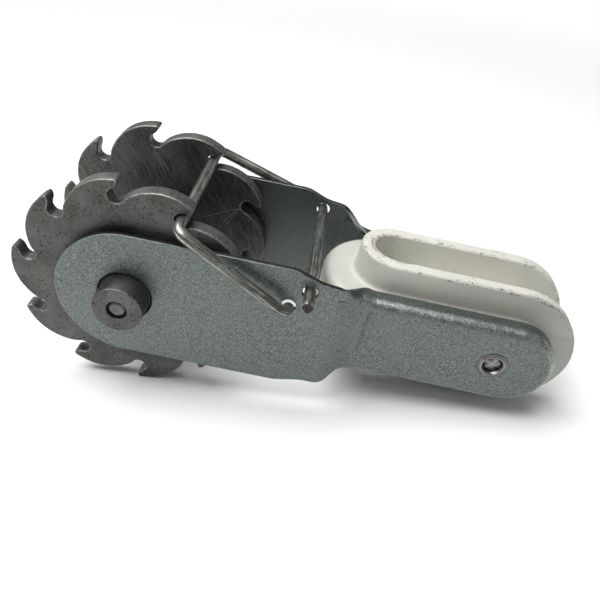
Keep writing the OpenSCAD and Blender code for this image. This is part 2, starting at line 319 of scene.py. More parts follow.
def placed(name, mesh, material, body):
    """Puts a mesh in the scene, smooth-shaded, as the visible piece for the CAD node of that name."""
    obj = linked(name, mesh)
    mesh.materials.append(material)
    mesh.shade_smooth()
    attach(obj, body)
    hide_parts(name)
    return obj


def rounded_profile(r, steps=4):
    """(inset, depth) pairs round an edge of radius r, from the face to the side."""
    angles = [math.pi / 2 * k / steps for k in range(steps + 1)]
    return [(r * (1 - math.sin(a)), r * (1 - math.cos(a))) for a in angles]


def slab(shell, surface, loops, thickness, r, grid, clear, worn, painted_highlight):
    """A plate of any curved form: faces at depth 0 and thickness, with round edges on every loop
    that are rubbed over a width of worn, and cut faces between them. The last argument gives the painted
    highlight elsewhere, such as along a bend."""
    profile = rounded_profile(r)
    depths = profile + [(i, thickness - d) for i, d in reversed(profile)]
    # rubbed bright over the rounding, and dark on the cut face
    wear = [0.15, 0.4, 0.55, 0.35, 0.1]
    cut = [0.0, 0.0, 0.1, 0.7, 1.0]
    for loop in loops:
        rings = [surface(inset(loop, i), d) for i, d in depths]
        shell.strips(rings, wear + wear[::-1], cut + cut[::-1])
    borders = [inset(loop, r) for loop in loops]
    fade = [inset(loop, r + worn) for loop in loops]
    points, triangles, on_loop = fill(borders, fade, grid, clear)
    # points by the edges are a little rubbed; elsewhere the painted highlight, such as on a flange's bend
    for depth, facing in ((0.0, triangles), (thickness, triangles[:, ::-1])):
        shell.add(surface(points, depth), facing, np.maximum(on_loop * 0.2, painted_highlight(points)))


def lathe(shell, profile, sign, count, edge=0.0, grime_and_shade=0.0, closed=False):
    """Turns (radius, y) pairs about the drum's Y axis. sign mirrors y, closed caps the last ring."""
    a = np.arange(count) * 2 * math.pi / count
    rings = [np.stack([r * np.cos(a), np.full(count, sign * y), r * np.sin(a)], 1) for r, y in profile]
    shell.strips(rings, edge, grime_and_shade=grime_and_shade)
    if closed:
        end = rings[-1]
        shell.add(np.vstack([end, end.mean(0)]), [(i, (i + 1) % count, count) for i in range(count)])


def arc(cr, cy, r, start, end, steps=6):
    """(radius, y) points of an arc in a lathe profile, angles in degrees."""
    angles = [math.radians(start + (end - start) * k / steps) for k in range(steps + 1)]
    return [(cr + r * math.cos(t), cy + r * math.sin(t)) for t in angles]


# ---------------- materials
# Texture scales are per metre, and colours are linear.
def node(tree, kind, inputs=None, **settings):
    """Adds a shader node; an input is a number, a colour or another node's socket."""
    made = tree.nodes.new(kind)
    for name, value in settings.items():
        setattr(made, name, value)
    for name, value in (inputs or {}).items():
        if isinstance(value, bpy.types.NodeSocket):
            tree.links.new(value, made.inputs[name])
        else:
            made.inputs[name].default_value = value
    return made


def scaled(tree, vector, scale):
    """A vector multiplied by a vector, such as to stretch a texture."""
    return node(tree, "ShaderNodeVectorMath", {0: vector, 1: scale}, operation="MULTIPLY").outputs[0]


def noise(tree, vector, scale, detail=2.0, roughness=0.5, distortion=0.0):
    return node(tree, "ShaderNodeTexNoise", {
        "Vector": vector, "Scale": scale, "Detail": detail, "Roughness": roughness,
        "Distortion": distortion}).outputs[0]


def cells(tree, vector, scale):
    return node(tree, "ShaderNodeTexVoronoi", {"Vector": vector, "Scale": scale}).outputs["Distance"]


def ramp(tree, value, *stops):
    """Colour ramp through (position, colour) stops."""
    made = node(tree, "ShaderNodeValToRGB", {"Fac": value})
    elements = made.color_ramp.elements
    while len(elements) < len(stops):
        elements.new(0.5)
    for element, (position, colour) in zip(elements, stops):
        element.position = position
        element.color = (*colour, 1.0) if hasattr(colour, "__len__") else (colour,) * 3 + (1.0,)
    return made.outputs[0]


def curve(tree, value, low, high, to_low=0.0, to_high=1.0):
    """Maps low..high to to_low..to_high, smoothly and clamped."""
    return node(tree, "ShaderNodeMapRange", {
        "Value": value, "From Min": low, "From Max": high, "To Min": to_low, "To Max": to_high},
        interpolation_type="SMOOTHSTEP").outputs[0]


def maths(tree, operation, a, b):
    return node(tree, "ShaderNodeMath", {0: a, 1: b}, operation=operation, use_clamp=True).outputs[0]


def product(tree, a, b):
    return maths(tree, "MULTIPLY", a, b)


def mixed(tree, share, a, b, strength=None):
    """Colour a changed towards b by share, times strength."""
    share = product(tree, share, strength) if strength else share
    a, b = (c if isinstance(c, bpy.types.NodeSocket) else (*c, 1.0) for c in (a, b))
    return node(tree, "ShaderNodeMix", {0: share, 6: a, 7: b}, data_type="RGBA").outputs[2]


def attribute(tree, name):
    return node(tree, "ShaderNodeAttribute", attribute_name=name).outputs["Fac"]


def material(name, build):
    """A node material: build gets the tree, the object coordinates and the shader."""
    made = bpy.data.materials.new(name)
    made.use_nodes = True
    tree = made.node_tree
    tree.nodes.clear()
    shader = node(tree, "ShaderNodeBsdfPrincipled")
    node(tree, "ShaderNodeOutputMaterial", {"Surface": shader.outputs[0]})
    build(tree, node(tree, "ShaderNodeTexCoord").outputs["Object"], shader)
    return made


def connect(tree, shader, colour, roughness, height, strength, distance):
    """Joins a material's colour, roughness and bump to its shader."""
    tree.links.new(colour, shader.inputs["Base Color"])
    tree.links.new(roughness, shader.inputs["Roughness"])
    bump = node(tree, "ShaderNodeBump", {"Height": height, "Strength": strength, "Distance": distance})
    tree.links.new(bump.outputs[0], shader.inputs["Normal"])


def galvanised(tree, place, shader):
    """Dull grey-green zinc with a fine salt-and-pepper grain, rubbed edges, a painted highlight on the
    flanges' bends, painted shade along a crease, and brown cut faces.
    """
    grain = noise(tree, place, 2900, 2.0, 0.65)
    coarse = noise(tree, place, 900, 2.0, 0.6)
    patch = noise(tree, place, 90, 4.0, 0.6)
    zinc = ramp(tree, grain, (0.34, (0.058, 0.068, 0.062)), (0.5, (0.138, 0.160, 0.148)),
                (0.66, (0.275, 0.298, 0.280)))
    zinc = mixed(tree, curve(tree, coarse, 0.35, 0.7, 0.0, 0.28), zinc, (0.098, 0.114, 0.106))
    zinc = mixed(tree, curve(tree, patch, 0.35, 0.7, 0.0, 0.4), zinc, (0.158, 0.184, 0.172))
    pits = product(tree, curve(tree, cells(tree, place, 620), 0.20, 0.12),
                   curve(tree, noise(tree, place, 300), 0.52, 0.60))
    zinc = mixed(tree, pits, zinc, (0.025, 0.03, 0.025), 0.75)
    zinc = mixed(tree, attribute(tree, "inner"), zinc, (0.030, 0.031, 0.029), 0.85)
    # dark lines, the first of them painted shade for the joggle's crease
    for start, end, half_width, share in PLATE_DARK_LINES:
        line = scratch(tree, place, start, end, half_width)
        line = product(tree, line, curve(tree, coarse, 0.3, 0.6, 0.4, 1.0))
        zinc = mixed(tree, line, zinc, (0.03, 0.035, 0.032), share)
    # the edge value brings rubbed edges and, on the flanges' bends, a painted highlight in the bright grain
    edge = product(tree, curve(tree, attribute(tree, "edge"), 0.1, 0.9),
                   curve(tree, noise(tree, place, 420, 4.0, 0.65), 0.38, 0.60, 0.42, 0.95))
    bright = ramp(tree, noise(tree, place, 1500, 3.0, 0.6), (0.38, (0.20, 0.215, 0.205)),
                  (0.64, (0.54, 0.555, 0.54)))
    zinc = mixed(tree, edge, zinc, bright)
    rough = curve(tree, grain, 0.3, 0.7, 0.36, 0.52)
    shader.inputs["Metallic"].default_value = 0.9
    connect(tree, shader, zinc, rough, maths(tree, "ADD", grain, pits), 0.35, 0.00004)


def band(tree, place, way, centre, half_width):
    """1 within half_width of a plane across way, 0 outside, in millimetres. way is (x, z)."""
    dot = node(tree, "ShaderNodeVectorMath", {0: place, 1: (way.x, 0.0, way.y)}, operation="DOT_PRODUCT")
    gap = node(tree, "ShaderNodeMath", {0: dot.outputs["Value"], 1: centre * MM}, operation="SUBTRACT")
    size = node(tree, "ShaderNodeMath", {0: gap.outputs[0]}, operation="ABSOLUTE")
    return curve(tree, size.outputs[0], 1.25 * half_width * MM, 0.75 * half_width * MM)


def scratch(tree, place, start, end, half_width):
    """A fine straight line on the XZ plane from start to end, in millimetres."""
    run = Vector(end) - Vector(start)
    middle = (Vector(start) + Vector(end)) / 2
    lengthwise = run.normalized()
    across = Vector((-lengthwise.y, lengthwise.x))
    return product(tree, band(tree, place, lengthwise, lengthwise.dot(middle), run.length / 2),
                   band(tree, place, across, across.dot(middle), half_width))


def cast(tree, place, shader):
    """Brown-grey cast alloy with dark pores, rubbed edges, and marks and scratches on the inner faces."""
    blotch = noise(tree, place, 110, 5.0, 0.62)
    grain = noise(tree, place, 1500, 3.0, 0.6)
    alloy = ramp(tree, blotch, (0.32, (0.041, 0.041, 0.037)), (0.5, (0.086, 0.087, 0.081)),
                 (0.68, (0.146, 0.148, 0.139)))
    alloy = mixed(tree, curve(tree, grain, 0.35, 0.7, 0.0, 0.45), alloy, (0.155, 0.150, 0.143))
    pores = product(tree, curve(tree, cells(tree, place, 900), 0.34, 0.16),
                    curve(tree, noise(tree, place, 190, 4.0, 0.6), 0.42, 0.56))
    dents = curve(tree, noise(tree, place, 800, 4.0, 0.7), 0.60, 0.68)
    pores = maths(tree, "MAXIMUM", pores, dents)
    alloy = mixed(tree, pores, alloy, (0.016, 0.015, 0.013), 0.8)
    brushed = node(tree, "ShaderNodeVectorRotate", {"Vector": place, "Angle": BRUSH_TURN},
                   rotation_type="Y_AXIS").outputs[0]
    streak = noise(tree, scaled(tree, brushed, (1900, 300, 170)), 1.0, 3.0, 0.6, 0.6)
    inner = attribute(tree, "inner")
    marks = product(tree, curve(tree, streak, 0.42, 0.66), inner)
    alloy = mixed(tree, marks, alloy, (0.20, 0.195, 0.185), 0.6)
    for start, end in SCRATCHES:
        line = product(tree, scratch(tree, place, start, end, 0.11), inner)
        alloy = mixed(tree, line, alloy, (0.42, 0.41, 0.40), 0.7)
    # painted shade round the boss, in its recess and at the drum rivet's feet
    alloy = mixed(tree, attribute(tree, "grime_and_shade"), alloy, (0.018, 0.020, 0.020), 0.82)
    edge = curve(tree, attribute(tree, "edge"), 0.1, 0.9)
    edge = product(tree, edge, curve(tree, grain, 0.38, 0.55, 0.2, 0.75))
    alloy = mixed(tree, edge, alloy, (0.30, 0.295, 0.285))
    rough = curve(tree, blotch, 0.3, 0.7, 0.42, 0.60)
    shader.inputs["Metallic"].default_value = 0.85
    height = maths(tree, "SUBTRACT", curve(tree, grain, 0.2, 0.8, 0.4, 0.9), pores)
    connect(tree, shader, alloy, rough, height, 0.5, 0.00006)


def drawn_wire(tree, place, shader):
    """Zinc-coated spring wire with dull drawing streaks along it, a brown cropped end, and a painted
    highlight on the crop's upper edge.
    """
    lengthwise = node(tree, "ShaderNodeAttribute", attribute_name="lengthwise").outputs["Vector"]
    streak = noise(tree, lengthwise, 1.0, 4.0, 0.6)
    grain = noise(tree, place, 1900, 2.0, 0.6)
    zinc = ramp(tree, streak, (0.36, (0.028, 0.028, 0.024)), (0.5, (0.215, 0.222, 0.203)),
                (0.62, (0.53, 0.545, 0.50)))
    zinc = mixed(tree, curve(tree, grain, 0.35, 0.7, 0.0, 0.3), zinc, (0.16, 0.162, 0.15))
    stain = curve(tree, noise(tree, place, 330, 4.0, 0.65), 0.48, 0.66, 0.0, 0.45)
    zinc = mixed(tree, stain, zinc, (0.055, 0.050, 0.042))
    dents = product(tree, curve(tree, cells(tree, place, 420), 0.2, 0.1),
                    curve(tree, noise(tree, place, 120), 0.5, 0.58))
    zinc = mixed(tree, dents, zinc, (0.014, 0.013, 0.012), 0.8)
    zinc = mixed(tree, attribute(tree, "grime_and_shade"), zinc, (0.014, 0.010, 0.008), 0.9)
    # the edge value is a painted highlight on the upper edge of the pin's end
    zinc = mixed(tree, attribute(tree, "edge"), zinc, (0.42, 0.41, 0.39))
    shader.inputs["Metallic"].default_value = 0.9
    connect(tree, shader, zinc, curve(tree, streak, 0.3, 0.7, 0.5, 0.32), grain, 0.3, 0.00004)


def rivet_steel(tree, place, shader):
    """Steel with soft rubbing marks, and painted shade in its seams and hollows."""
    blotch = noise(tree, place, 500, 4.0, 0.6)
    steel = ramp(tree, blotch, (0.35, (0.15, 0.146, 0.140)), (0.6, (0.27, 0.265, 0.255)))
    steel = mixed(tree, attribute(tree, "grime_and_shade"), steel, (0.012, 0.012, 0.011), 0.95)
    steel = mixed(tree, attribute(tree, "edge"), steel, (0.62, 0.61, 0.59))
    shader.inputs["Metallic"].default_value = 0.95
    connect(tree, shader, steel, curve(tree, blotch, 0.3, 0.7, 0.24, 0.4), blotch, 0.15, 0.00003)


def moulding(tree, place, shader):
    """Off-white matt plastic, scuffed brown and black along the edges of its rims."""
    soft = noise(tree, place, 60, 4.0, 0.6)
    grain = noise(tree, place, 1400, 3.0, 0.6)
    plastic = ramp(tree, soft, (0.3, (0.645, 0.640, 0.575)), (0.7, (0.715, 0.710, 0.650)))
    plastic = mixed(tree, curve(tree, grain, 0.4, 0.75, 0.0, 0.14), plastic, (0.42, 0.40, 0.35))
    # grey for dirt, and as painted shade on the skirt's top and the walls' outside
    plastic = mixed(tree, attribute(tree, "grime_and_shade"), plastic, (0.33, 0.33, 0.30))
    flecks = noise(tree, scaled(tree, place, (650, 1300, 1300)), 1.0, 4.0, 0.7)
    gate = noise(tree, place, 150, 3.0, 0.6)
    scuffs = product(tree, curve(tree, flecks, 0.54, 0.59), curve(tree, gate, 0.40, 0.52))
    scuffs = product(tree, scuffs, attribute(tree, "edge"))
    plastic = mixed(tree, scuffs, plastic, (0.060, 0.048, 0.036), 0.92)
    rubbed = noise(tree, scaled(tree, place, (250, 500, 700)), 1.0, 4.0, 0.7)
    smudge = product(tree, curve(tree, rubbed, 0.56, 0.72), curve(tree, gate, 0.40, 0.62))
    plastic = mixed(tree, smudge, plastic, (0.30, 0.28, 0.24), 0.5)
    stray = product(tree, curve(tree, noise(tree, place, 900, 4.0, 0.7), 0.66, 0.72),
                    curve(tree, gate, 0.48, 0.60))
    plastic = mixed(tree, stray, plastic, (0.13, 0.10, 0.075), 0.7)
    broken = curve(tree, noise(tree, place, 420, 3.0), 0.40, 0.55)
    crack = product(tree, attribute(tree, "inner"), broken)
    plastic = mixed(tree, crack, plastic, (0.13, 0.105, 0.075), 0.75)
    shader.inputs["Subsurface Weight"].default_value = 0.08
    shader.inputs["Subsurface Scale"].default_value = 0.001
    connect(tree, shader, plastic, curve(tree, grain, 0.3, 0.7, 0.42, 0.58), grain, 0.12, 0.00003)


def paper(tree, place, shader):
    """Pale paper that looks like the backdrop far from the tool, where the lights fall off."""
    shader.inputs["Base Color"].default_value = (0.86, 0.865, 0.865, 1)
    shader.inputs["Roughness"].default_value = 0.9
    shader.inputs["Specular IOR Level"].default_value = 0.1
    away = node(tree, "ShaderNodeVectorMath", {0: place}, operation="LENGTH").outputs["Value"]
    seen = node(tree, "ShaderNodeLightPath").outputs["Is Camera Ray"]
    plain = node(tree, "ShaderNodeEmission", {"Color": BACKDROP, "Strength": 1.0})
    far = product(tree, curve(tree, away, 0.25, 0.6), seen)
    blend = node(tree, "ShaderNodeMixShader", {0: far, 1: shader.outputs[0], 2: plain.outputs[0]})
    tree.links.new(blend.outputs[0], tree.nodes["Material Output"].inputs["Surface"])


# the way the wheels' inner faces are brushed, and scratches on them as (x, z) of their ends
BRUSH_TURN = math.radians(32)
SCRATCHES = (((23.9, 12.1), (12.2, 6.0)), ((23.7, 11.8), (20.3, 5.1)), ((23.3, 11.6), (19.6, 6.4)),
             ((-4.8, 25.7), (-0.7, 19.1)), ((-4.0, 25.4), (0.4, 20.2)))
# dark lines on the side plates: (x, z) of both ends, half width and strength. The first is painted shade for
# the crease at the joggle's end, which the mesh does not have; the others are short dark lines where the
# flange starts
PLATE_DARK_LINES = (((67.7, 10.2), (67.2, -5.3), 0.5, 0.35), ((57.9, 13.5), (60.1, 13.4), 0.28, 0.8),
               ((60.0, 13.4), (61.2, 12.7), 0.2, 0.7))

GALVANISED = material("galvanised_sheet", galvanised)
CAST = material("cast_alloy", cast)
WIRE = material("spring_wire", drawn_wire)
RIVET = material("rivet_steel", rivet_steel)
PLASTIC = material("insulator_plastic", moulding)
PAPER = material("floor_paper", paper)


# ---------------- side plates
def smooth_step(x):
    x = np.clip(x, 0.0, 1.0)
    return x * x * (3 - 2 * x)


def edge_height(x, early):
    """Half height of the sheet's projected outline at x. early is how much sooner the taper comes."""
    x = x + early * along(x, EARLY_SHARE)
    return sum(along(x + TAPER_ROUNDING * k, TAPER) for k in (-2, -1, 0, 1, 2)) / 5


def flange(x, early):
    """The flange at x: how far it is bent from 0 to 1, the angle of that, the length of its straight
    part, and the half height of the sheet that stays flat."""
    start = FLANGE_X0 - early
    share = smooth_step((np.asarray(x, float) - start) / (FLANGE_X1 - start))
    turn = np.maximum(share * math.pi / 2, 1e-6)
    straight = (FLANGE_D - BEND_R) * share
    return share, turn, straight, edge_height(x, early) - BEND_R * np.sin(turn) - straight * np.cos(turn)


def section(x, s, early):
    """Height and depth of a point s along the sheet from its middle line, at station x."""
    _, turn, _, flat = flange(x, early)
    a = np.clip((s - flat) / BEND_R, 0.0, turn)
    rest = np.maximum(s - flat - BEND_R * turn, 0.0)
    z = np.minimum(s, flat) + BEND_R * np.sin(a) + rest * np.cos(turn)
    return z, BEND_R * (1 - np.cos(a)) + rest * np.sin(turn)


def flat_half_width(x, early):
    """Half width of the flat blank at x."""
    _, turn, straight, flat = flange(x, early)
    return flat + BEND_R * turn + straight


def from_middle(points):
    """Distance of the blank's points from its middle line, or at its round end from END_X."""
    return np.hypot(np.maximum(points[:, 0] - END_X, 0.0), points[:, 1])


def sheet_surface(points, near):
    """Outer face of a side plate at points of its flat blank, as X, Y, Z with Y for the far plate."""
    u, v = points[:, 0], points[:, 1]
    radius = from_middle(points)
    z, depth = section(np.minimum(u, END_X), radius, 0.0 if near else FAR_EARLY)
    share = np.where(radius > 1e-9, z / np.maximum(radius, 1e-9), 1.0)
    x = np.where(u <= END_X, u, END_X + (u - END_X) * share)
    z = v * share
    z = z + CAMBER * along(x, CAMBER_SHARE) * smooth_step((np.abs(z) - CAMBER_FROM) / CAMBER_OVER)
    step_length = JOGGLE_X1 - JOGGLE_X0 - 2 * JOGGLE_INSET
    stepped_in = smooth_step((u - JOGGLE_X0 - JOGGLE_INSET) / step_length)
    y = BODY_Y - (BODY_Y - ARM_Y) * stepped_in - depth
    if near:
        to_rim = DIMPLE_R + DIMPLE_EDGE - np.hypot(x - RIVET_X, z)
        y = y - DIMPLE_D * smooth_step(to_rim / (2 * DIMPLE_EDGE))
    return np.stack([x, y, z], 1)


def bend_highlight(points, early):
    """Painted highlight along the outside of the flange's bend."""
    share, turn, _, flat = flange(np.minimum(points[:, 0], END_X), early)
    round_the_bend = (from_middle(points) - flat) / (BEND_R * turn)
    return share * smooth_step(1 - np.abs(round_the_bend - BEND_HIGHLIGHT_CENTRE) / BEND_HIGHLIGHT_WIDTH)


def blank_outline(early):
    """Outline of a side plate's flat blank."""
    arm_r = float(flat_half_width(END_X, early))
    left = [(BODY_H * math.cos(t), BODY_H * math.sin(t)) for t in np.radians(np.arange(92, 269, 2.0))]
    right = [(END_X + arm_r * math.cos(t), arm_r * math.sin(t)) for t in np.radians(np.arange(-88, 89, 2.0))]
    stations = np.arange(0.0, END_X + OUTLINE_STEP / 2, OUTLINE_STEP)
    bottom = [(x, -float(flat_half_width(x, early))) for x in stations]
    return resample(np.array(left + bottom + right + [(x, -z) for x, z in reversed(bottom)]), OUTLINE_STEP)


def side_plate(name, near, body):
    """A pressed plate: flat round-ended body, stepped in to a dished arm."""
    # the flange's bend gets a painted highlight: strong on the near plate, faint on the far one
    early, side, strength = (0.0, -1.0, BEND_HIGHLIGHT_NEAR) if near else (FAR_EARLY, 1.0, BEND_HIGHLIGHT_FAR)
    outline = blank_outline(early)
    holes = [hole(0, 0, BOSS_HOLE_R, 72), hole(PIVOT_X, PIVOT_Z, PIVOT_HOLE_R),
             hole(RIVET_X, 0, RIVET_HOLE_R)]
    if near:
        holes.append(hole(*OPEN_HOLE, OPEN_HOLE_R))

    def surface(points, depth):
        step = 0.05
        here = sheet_surface(points, near)
        du = sheet_surface(points + (step, 0), near) - sheet_surface(points - (step, 0), near)
        dv = sheet_surface(points + (0, step), near) - sheet_surface(points - (0, step), near)
        normal = np.cross(dv, du)
        normal /= np.linalg.norm(normal, axis=1)[:, None]
        return (here - depth * normal) * (1, side, 1)

    fine_from = JOGGLE_X0 - 4
    grid = np.concatenate([hex_grid((-BODY_H, -BODY_H), (fine_from, BODY_H), COARSE_STEP),
                           hex_grid((fine_from, -BODY_H), (outline[:, 0].max(), BODY_H), FINE_STEP)])
    shell = Shell()
    slab(shell, surface, [outline] + holes, SHEET_T, EDGE_R, grid, clear=0.5, worn=0.3,
         painted_highlight=lambda points: strength * bend_highlight(points, early))
    return shell.piece(name, GALVANISED, body)


# ---------------- ratchet wheels
def face_outline(node_name, y):
    """The outermost closed loop of a CAD node's flat face at y, counter-clockwise."""
    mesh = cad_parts[node_name].data
    keys = {}
    index = [keys.setdefault(tuple(np.round(np.array(v.co) / MM, 3)), len(keys)) for v in mesh.vertices]
    places = np.array(list(keys))
    level = np.abs(places[:, 1] - y) < 0.01
    uses = {}
    for triangle in mesh.polygons:
        ids = [index[i] for i in triangle.vertices]
        if all(level[i] for i in ids):
            for a, b in zip(ids, ids[1:] + ids[:1]):
                edge = (min(a, b), max(a, b))
                uses[edge] = uses.get(edge, 0) + 1
    follows = {}
    for a, b in (edge for edge, count in uses.items() if count == 1):
        follows.setdefault(a, []).append(b)
        follows.setdefault(b, []).append(a)
    start = max(follows, key=lambda i: places[i, 0] ** 2 + places[i, 2] ** 2)
    chain, step = [start], follows[start][0]
    while step != start:
        before = chain[-1]
        chain.append(step)
        step = next(i for i in follows[step] if i != before)
    loop = places[chain][:, [0, 2]]
    after = np.roll(loop, -1, 0)
    area = (loop[:, 0] * after[:, 1] - after[:, 0] * loop[:, 1]).sum()
    return loop if area > 0 else loop[::-1]


def hooked(outline):
    """Draws the teeth's tips out over their gullets."""
    pitch = 2 * math.pi / TOOTH_COUNT
    angle = np.arctan2(outline[:, 1], outline[:, 0])
    tip = TIP_ANGLE + pitch * np.round((angle - TIP_ANGLE) / pitch)
    tips = TIP_R * np.stack([np.cos(tip), np.sin(tip)], 1)
    share = smooth_step(1 - np.linalg.norm(outline - tips, axis=1) / HOOK_LENGTH)[:, None]
    forward = np.stack([np.sin(tip), -np.cos(tip)], 1)
    return softened(outline + share * HOOK_OUT * forward, 3)


def rounded_tips(outline, r, reach=14, beside=4, step=0.05):
    """The outline with a radius of r on each tooth's tip. Up to reach points each side are moved, and
    the circle's centre is sought, in steps, between the tip and the points beside it."""
    outline = outline.copy()
    for tooth in range(TOOTH_COUNT):
        angle = TIP_ANGLE + 2 * math.pi * tooth / TOOTH_COUNT
        out = np.array([math.cos(angle), math.sin(angle)])
        ahead = out + np.array([math.sin(angle), -math.cos(angle)])
        near = np.linalg.norm(outline - TIP_R * out, axis=1) < HOOK_LENGTH
        tip = int(np.argmax(np.where(near, outline @ ahead, -1e9)))
        window = (tip + np.arange(-reach, reach + 1)) % len(outline)
        points = outline[window]
        inward = points[reach - beside] + points[reach + beside] - 2 * points[reach]
        inward /= np.linalg.norm(inward)
        for depth in np.arange(0.0, HOOK_LENGTH, step):
            centre = points[reach] + depth * inward
            gaps = np.linalg.norm(points - centre, axis=1)
            if gaps.min() >= r:
                break
        first = int(np.argmin(gaps[:reach]))
        last = reach + 1 + int(np.argmin(gaps[reach + 1:]))
        rays = points[first:last + 1] - centre
        outline[window[first:last + 1]] = centre + r * rays / np.linalg.norm(rays, axis=1)[:, None]
    return softened(outline, 1)


def toothed_disc(shell, outline, side):
    """Both faces and the rounded edge of the disc, with a round hole where the drum stands."""
    def surface(points, depth):
        return np.stack([points[:, 0], np.full(len(points), side * (WHEEL_Y - depth)), points[:, 1]], 1)

    profile = rounded_profile(TOOTH_EDGE_R)
    wear = [0.2, 0.8, 1.0, 0.7, 0.5]
    ring = profile + [(i, WHEEL_T - d) for i, d in reversed(profile)]
    shell.strips([surface(inset(outline, i), d) for i, d in ring], wear + wear[::-1])
    loops = [inset(outline, TOOTH_EDGE_R), hole(0, 0, DRUM_R + ROOT_R, 96)]
    reach = TIP_R + 2
    grid = hex_grid((-reach, -reach), (reach, reach), DISC_STEP)
    points, triangles, on_loop = fill(loops, [inset(outline, TOOTH_EDGE_R + 0.5)], grid, 0.6)
    on_rim = on_loop & (np.hypot(points[:, 0], points[:, 1]) > DRUM_R + 2 * ROOT_R)
    shell.add(surface(points, 0.0), triangles, on_rim * 0.3)
    shell.add(surface(points, WHEEL_T), triangles[:, ::-1], on_rim * 0.3, inner=1.0)


def ratchet_wheel(name, side, body):
    """Toothed disc, half drum, collar, journal and boss: one casting."""
    outline = resample(face_outline(name, side * WHEEL_Y), TOOTH_STEP)
    shell = Shell()
    toothed_disc(shell, rounded_tips(hooked(outline), TIP_ROUND_R), side)

    top, inner_face = BOSS_Y, WHEEL_Y - WHEEL_T
    collar = arc(DRUM_R + ROOT_R, WHEEL_Y + ROOT_R, ROOT_R, 270, 180, 4)[:3]
    collar += [(DRUM_R + 0.1, COLLAR_Y - 0.25), (DRUM_R - 0.25, COLLAR_Y)]
    boss = [(JOURNAL_R, COLLAR_Y), (JOURNAL_R, BODY_Y - 0.3), (BOSS_R, BODY_Y - 0.2)]
    rim = arc(BOSS_R - BOSS_RIM_R, top - BOSS_RIM_R, BOSS_RIM_R, 0, 90, 6)
    lip = arc(RECESS_R + RECESS_RIM_R, top - RECESS_RIM_R, RECESS_RIM_R, 90, 180, 4)
    recess = [(RECESS_R, top - RECESS_D), (DRUM_RIVET_R, top - RECESS_D)]
    drum = [(DRUM_RIVET_R, 0.0), (DRUM_R - 0.35, 0.0)]
    drum += [(DRUM_R, y) for y in np.linspace(0.35, inner_face - ROOT_R - 0.6, 24)]
    drum += arc(DRUM_R + ROOT_R, inner_face - ROOT_R, ROOT_R, 180, 90, 4)
    # rubbed on the rim and the lip; painted shade on the boss's side, darkest where it leaves the plate, and
    # in the recess
    clean = [0.0] * len(collar)
    worn = clean + [0.0] * 3 + [0.0, 0.2, 0.5, 0.55, 0.35, 0.1, 0.0] + [0.0, 0.3, 0.4, 0.2, 0.0]
    dirt_and_shade = clean + [1.0, 1.0, 0.62] + [0.38, 0.4, 0.2, 0.0, 0.0, 0.0, 0.0] + [0.0, 0.0, 0.1, 0.3, 0.5]
    worn += [0.0] * (2 + len(drum))
    dirt_and_shade += [0.7, 0.8] + [0.0] * len(drum)
    lathe(shell, collar + boss + rim + lip + recess + drum, side, 96, worn, dirt_and_shade)
    return shell.piece(name, CAST, body)


def drill_wire_hole(wheel):
    """Cuts the fence wire's cross hole through the near half of the drum."""
    shell = Shell()
    ring = circle(WIRE_HOLE_Y, WIRE_HOLE_Z, WIRE_HOLE_R, 48)
    ends = [np.stack([np.full(48, x), ring[:, 0], ring[:, 1]], 1) for x in (-DRUM_R - 3, DRUM_R + 3)]
    shell.strips(ends)
    for end in ends:
        shell.add(end, [tuple(range(48))])
    cutter = linked("cutter", shell.mesh("cutter"))
    cut = wheel.modifiers.new("wire_hole", "BOOLEAN")
    cut.operation = "DIFFERENCE"
    cut.object = cutter
    cut.solver = "EXACT"
    bpy.context.view_layer.update()
    done = bpy.data.meshes.new_from_object(wheel.evaluated_get(bpy.context.evaluated_depsgraph_get()))
    done.set_sharp_from_angle(angle=math.radians(40))
    wheel.modifiers.clear()
    wheel.data = done
    bpy.data.objects.remove(cutter)


# ---------------- pawl
def bent_path(corners, radii, turn_steps=12, straight_step=2.5):
    """Points along a route whose corners are rounded."""
    points = [corners[0]]
    for before, corner, after, r in zip(corners, corners[1:], corners[2:], radii):
        u = (corner - before).normalized()
        v = (after - corner).normalized()
        turn = u.angle(v)
        across = (v - u * u.dot(v)).normalized()
        start = corner - u * (r * math.tan(turn / 2))
        run = (start - points[-1]).length
        count = max(int(run / straight_step), 1)
        points += [points[-1].lerp(start, k / count) for k in range(1, count)]
        for k in range(turn_steps + 1):
            a = turn * k / turn_steps
            points.append(start + u * (r * math.sin(a)) + across * (r * (1 - math.cos(a))))
    run = (corners[-1] - points[-1]).length
    count = int(run / straight_step)
    last = points[-1]
    points += [last.lerp(corners[-1], k / count) for k in range(1, count + 1)]
    return points


def swept_wire(path, sides=28):
    """Round wire along a path, with lengthwise coordinates for its drawing streaks."""
    work = bmesh.new()
    for value in ("edge", "grime_and_shade"):
        work.verts.layers.float.new(value)
    lengthwise = work.verts.layers.float_vector.new("lengthwise")
    rings, travelled = [], 0.0
    side = (path[1] - path[0]).normalized().cross(Vector((0.3, 0.5, 0.8)))
    for i, point in enumerate(path):
        before = path[max(i - 1, 0)]
        along_wire = (path[min(i + 1, len(path) - 1)] - before).normalized()
        side = (side - along_wire * side.dot(along_wire)).normalized()
        other = along_wire.cross(side)
        travelled += (point - before).length
        ring = []
        for t in (2 * math.pi * k / sides for k in range(sides)):
            c, s = math.cos(t), math.sin(t)
            vert = work.verts.new(MM * (point + side * (WIRE_R * c) + other * (WIRE_R * s)))
            vert[lengthwise] = (STREAK_PER_MM * travelled, STREAK_TURNS * c, STREAK_TURNS * s)
            ring.append(vert)
        rings.append(ring)
    for here, after in zip(rings, rings[1:]):
        for k in range(sides):
            m = (k + 1) % sides
            work.faces.new((here[k], here[m], after[m], after[k]))
    work.faces.new(rings[0][::-1])
    work.faces.new(rings[-1])
    bmesh.ops.recalc_face_normals(work, faces=work.faces)
    return work


